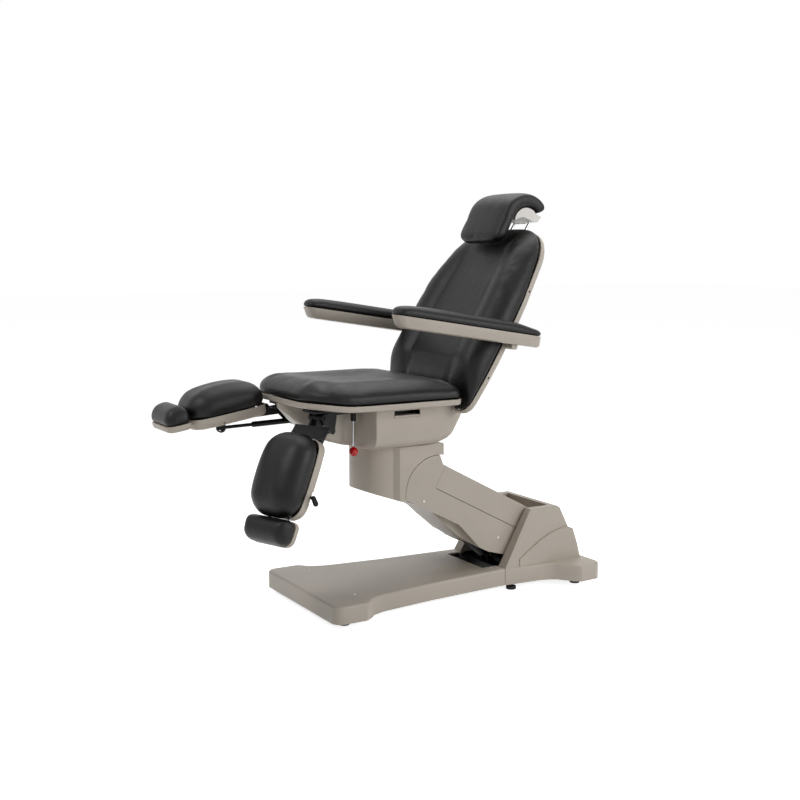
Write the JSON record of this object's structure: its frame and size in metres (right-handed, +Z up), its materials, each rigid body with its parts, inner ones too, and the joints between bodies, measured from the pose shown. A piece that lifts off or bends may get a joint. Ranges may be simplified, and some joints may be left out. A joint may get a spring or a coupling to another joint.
{
  "type": "podiatry chair",
  "caption": "Lifting and swivelling treatment chair with a reclining back, a sliding headrest, folding armrests and separately swinging, tilting and extending leg rests.",
  "frame": {"origin": "middle of the base's footprint on the floor", "axes": "+Z up, the patient faces -Y, the patient's left is +X"},
  "size_m": [0.73, 1.5892, 1.4694],
  "materials": {
    "shell": "satin",
    "cushion": "satin",
    "frame": "satin",
    "steel": "satin",
    "bright": "polished",
    "rubber": "matte",
    "ball": "gloss",
    "plate": "satin"
  },
  "bodies": {
    "base": {"chassis_frame": "frame", "front_cover": "shell", "rear_cover": "shell", "levelling_feet": "rubber", "cover_screws": "steel", "lift_pivot_pins": "bright"},
    "lift_arm": {"arm_weldment": "steel", "arm_cover_upper": "shell", "arm_cover_lower": "shell", "arm_screws": "bright"},
    "parallel_link": {"parallel_link": "frame"},
    "lift_motor": {"lift_motor": "frame"},
    "lift_motor_rod": {"lift_motor_rod": "bright"},
    "head": {"head_frame": "steel", "column_cover": "shell", "head_pins": "bright"},
    "seat": {"seat_frame": "frame", "underseat_housing": "shell", "seat_shell": "shell", "seat_cushion": "cushion", "leg_mount_plates": "frame", "back_hinge_pins": "bright", "side_buttons": "steel"},
    "swivel_paddle": {"swivel_paddle": "shell"},
    "back": {"back_frame": "frame", "back_shell": "shell", "back_cushion": "cushion", "armrest_pins": "bright"},
    "back_motor": {"back_motor": "frame"},
    "back_motor_rod": {"back_motor_rod": "bright"},
    "headrest_rods": {"headrest_rods": "bright"},
    "headrest": {"headrest_plate": "plate", "headrest_cushion": "cushion"},
    "left_armrest": {"left_armrest_shell": "shell", "left_armrest_pad": "cushion"},
    "left_bracket": {"left_swing_bracket": "frame"},
    "left_knob": {"left_release_knob": "ball"},
    "left_leg": {"left_leg_frame": "frame", "left_leg_shell": "shell", "left_leg_cushion": "cushion"},
    "left_strut_sleeve": {"left_strut_sleeve": "frame"},
    "left_strut_rod": {"left_strut_rod": "steel"},
    "left_foot": {"left_foot_rails": "bright", "left_foot_shell": "shell", "left_foot_cushion": "cushion"},
    "left_lock_lever": {"left_lock_lever": "frame"},
    "right_armrest": {"right_armrest_shell": "shell", "right_armrest_pad": "cushion"},
    "right_bracket": {"right_swing_bracket": "frame"},
    "right_knob": {"right_release_knob": "ball"},
    "right_leg": {"right_leg_frame": "frame", "right_leg_shell": "shell", "right_leg_cushion": "cushion"},
    "right_strut_sleeve": {"right_strut_sleeve": "frame"},
    "right_strut_rod": {"right_strut_rod": "steel"},
    "right_foot": {"right_foot_rails": "bright", "right_foot_shell": "shell", "right_foot_cushion": "cushion"},
    "right_lock_lever": {"right_lock_lever": "frame"}
  },
  "joints": [
    {"name": "lift_hinge", "type": "hinge", "parent": "base", "child": "lift_arm", "pos_m": [0, 0.33, 0.187], "axis": [-1, 0, 0], "range_deg": [-20, 18]},
    {"name": "head_hinge", "type": "hinge", "parent": "lift_arm", "child": "head", "pos_m": [0, -0.06983, 0.39781], "axis": [-1, 0, 0], "range_deg": [-18.5, 20.5]},
    {"name": "link_hinge", "type": "hinge", "parent": "base", "child": "parallel_link", "pos_m": [0.05, 0.33, 0.137], "axis": [-1, 0, 0], "range_deg": [-20.5, 18.5]},
    {"name": "lift_motor_hinge", "type": "hinge", "parent": "base", "child": "lift_motor", "pos_m": [-0.025, 0.25, 0.095], "axis": [-1, 0, 0], "range_deg": [-24, 24]},
    {"name": "lift_motor_slide", "type": "slide", "parent": "lift_motor", "child": "lift_motor_rod", "axis": [0, -0.769, 0.6393], "range_m": [-0.05, 0.045]},
    {"name": "seat_swivel", "type": "hinge", "parent": "head", "child": "seat", "pos_m": [0, -0.19, 0.56], "axis": [0, 0, 1], "range_deg": [-90, 90]},
    {"name": "swivel_paddle_hinge", "type": "hinge", "parent": "seat", "child": "swivel_paddle", "pos_m": [0.156, -0.24, 0.695], "axis": [0, -1, 0], "range_deg": [0, 14], "stiffness_Nm_per_rad": 1.2, "springref_deg": -14.32},
    {"name": "back_hinge", "type": "hinge", "parent": "seat", "child": "back", "pos_m": [0, -0.038, 0.722], "axis": [1, 0, 0], "range_deg": [-57.6, 3]},
    {"name": "back_motor_hinge", "type": "hinge", "parent": "seat", "child": "back_motor", "pos_m": [0.074, -0.336, 0.67477], "axis": [1, 0, 0], "range_deg": [-8, 14]},
    {"name": "back_motor_slide", "type": "slide", "parent": "back_motor", "child": "back_motor_rod", "axis": [0, 1, 0], "range_m": [-0.075, 0.02]},
    {"name": "headrest_slide", "type": "slide", "parent": "back", "child": "headrest_rods", "axis": [0, 0.5358, 0.8443], "range_m": [-0.03, 0.09]},
    {"name": "headrest_tilt", "type": "hinge", "parent": "headrest_rods", "child": "headrest", "pos_m": [0, 0.39093, 1.37922], "axis": [-1, 0, 0], "range_deg": [0, 35]},
    {"name": "left_armrest_hinge", "type": "hinge", "parent": "back", "child": "left_armrest", "pos_m": [0.327, 0.10654, 0.9311], "axis": [-1, 0, 0], "range_deg": [0, 100]},
    {"name": "right_armrest_hinge", "type": "hinge", "parent": "back", "child": "right_armrest", "pos_m": [-0.327, 0.10654, 0.9311], "axis": [-1, 0, 0], "range_deg": [0, 100]},
    {"name": "left_swing", "type": "hinge", "parent": "seat", "child": "left_bracket", "pos_m": [0.135, -0.525, 0.71], "axis": [0, 0, 1], "range_deg": [-20, 5]},
    {"name": "left_knob_slide", "type": "slide", "parent": "left_bracket", "child": "left_knob", "axis": [0, 0, 1], "range_m": [-0.012, 0], "stiffness_N_per_m": 700, "springref_m": 0.004},
    {"name": "left_leg_hinge", "type": "hinge", "parent": "left_bracket", "child": "left_leg", "pos_m": [0.14868, -0.56259, 0.706], "axis": [-0.9397, -0.342, 0], "range_deg": [-11, 64]},
    {"name": "left_strut_hinge", "type": "hinge", "parent": "left_bracket", "child": "left_strut_sleeve", "pos_m": [0.13568, -0.52688, 0.661], "axis": [-0.9397, -0.342, 0], "range_deg": [-14, 65]},
    {"name": "left_strut_slide", "type": "slide", "parent": "left_strut_sleeve", "child": "left_strut_rod", "axis": [0.2031, -0.558, -0.8046], "range_m": [-0.014, 0.065]},
    {"name": "left_foot_slide", "type": "slide", "parent": "left_leg", "child": "left_foot", "axis": [0.1499, -0.4119, -0.8988], "range_m": [0, 0.11]},
    {"name": "left_lock_hinge", "type": "hinge", "parent": "left_leg", "child": "left_lock_lever", "pos_m": [0.19561, -0.69153, 0.4703], "axis": [0.9397, 0.342, 0], "range_deg": [0, 50]},
    {"name": "right_swing", "type": "hinge", "parent": "seat", "child": "right_bracket", "pos_m": [-0.135, -0.525, 0.71], "axis": [0, 0, -1], "range_deg": [0, 25]},
    {"name": "right_knob_slide", "type": "slide", "parent": "right_bracket", "child": "right_knob", "axis": [0, 0, 1], "range_m": [-0.012, 0], "stiffness_N_per_m": 700, "springref_m": 0.004},
    {"name": "right_leg_hinge", "type": "hinge", "parent": "right_bracket", "child": "right_leg", "pos_m": [-0.135, -0.565, 0.706], "axis": [-1, 0, 0], "range_deg": [-66, 9]},
    {"name": "right_strut_hinge", "type": "hinge", "parent": "right_bracket", "child": "right_strut_sleeve", "pos_m": [-0.135, -0.527, 0.661], "axis": [-1, 0, 0], "range_deg": [-66, 12]},
    {"name": "right_strut_slide", "type": "slide", "parent": "right_strut_sleeve", "child": "right_strut_rod", "axis": [0, -0.9997, -0.0246], "range_m": [-0.065, 0.012]},
    {"name": "right_foot_slide", "type": "slide", "parent": "right_leg", "child": "right_foot", "axis": [0, -0.9877, -0.1564], "range_m": [0, 0.11]},
    {"name": "right_lock_hinge", "type": "hinge", "parent": "right_leg", "child": "right_lock_lever", "pos_m": [-0.135, -0.83678, 0.6832], "axis": [-1, 0, 0], "range_deg": [0, 50]}
  ],
  "couplings": [
    {"joint": "head_hinge", "follows": "lift_hinge", "ratio": -1},
    {"joint": "link_hinge", "follows": "lift_hinge", "ratio": 1},
    {"joint": "lift_motor_hinge", "follows": "lift_hinge", "ratio": 1.0133},
    {"joint": "lift_motor_slide", "follows": "lift_hinge", "m_per_rad": 0.1203},
    {"joint": "back_motor_hinge", "follows": "back_hinge", "ratio": 0.0157},
    {"joint": "back_motor_slide", "follows": "back_hinge", "m_per_rad": 0.05118},
    {"joint": "left_strut_hinge", "follows": "left_leg_hinge", "ratio": 0.9532},
    {"joint": "left_strut_slide", "follows": "left_leg_hinge", "m_per_rad": 0.05427},
    {"joint": "right_strut_hinge", "follows": "right_leg_hinge", "ratio": 0.9506},
    {"joint": "right_strut_slide", "follows": "right_leg_hinge", "m_per_rad": 0.05255}
  ]
}
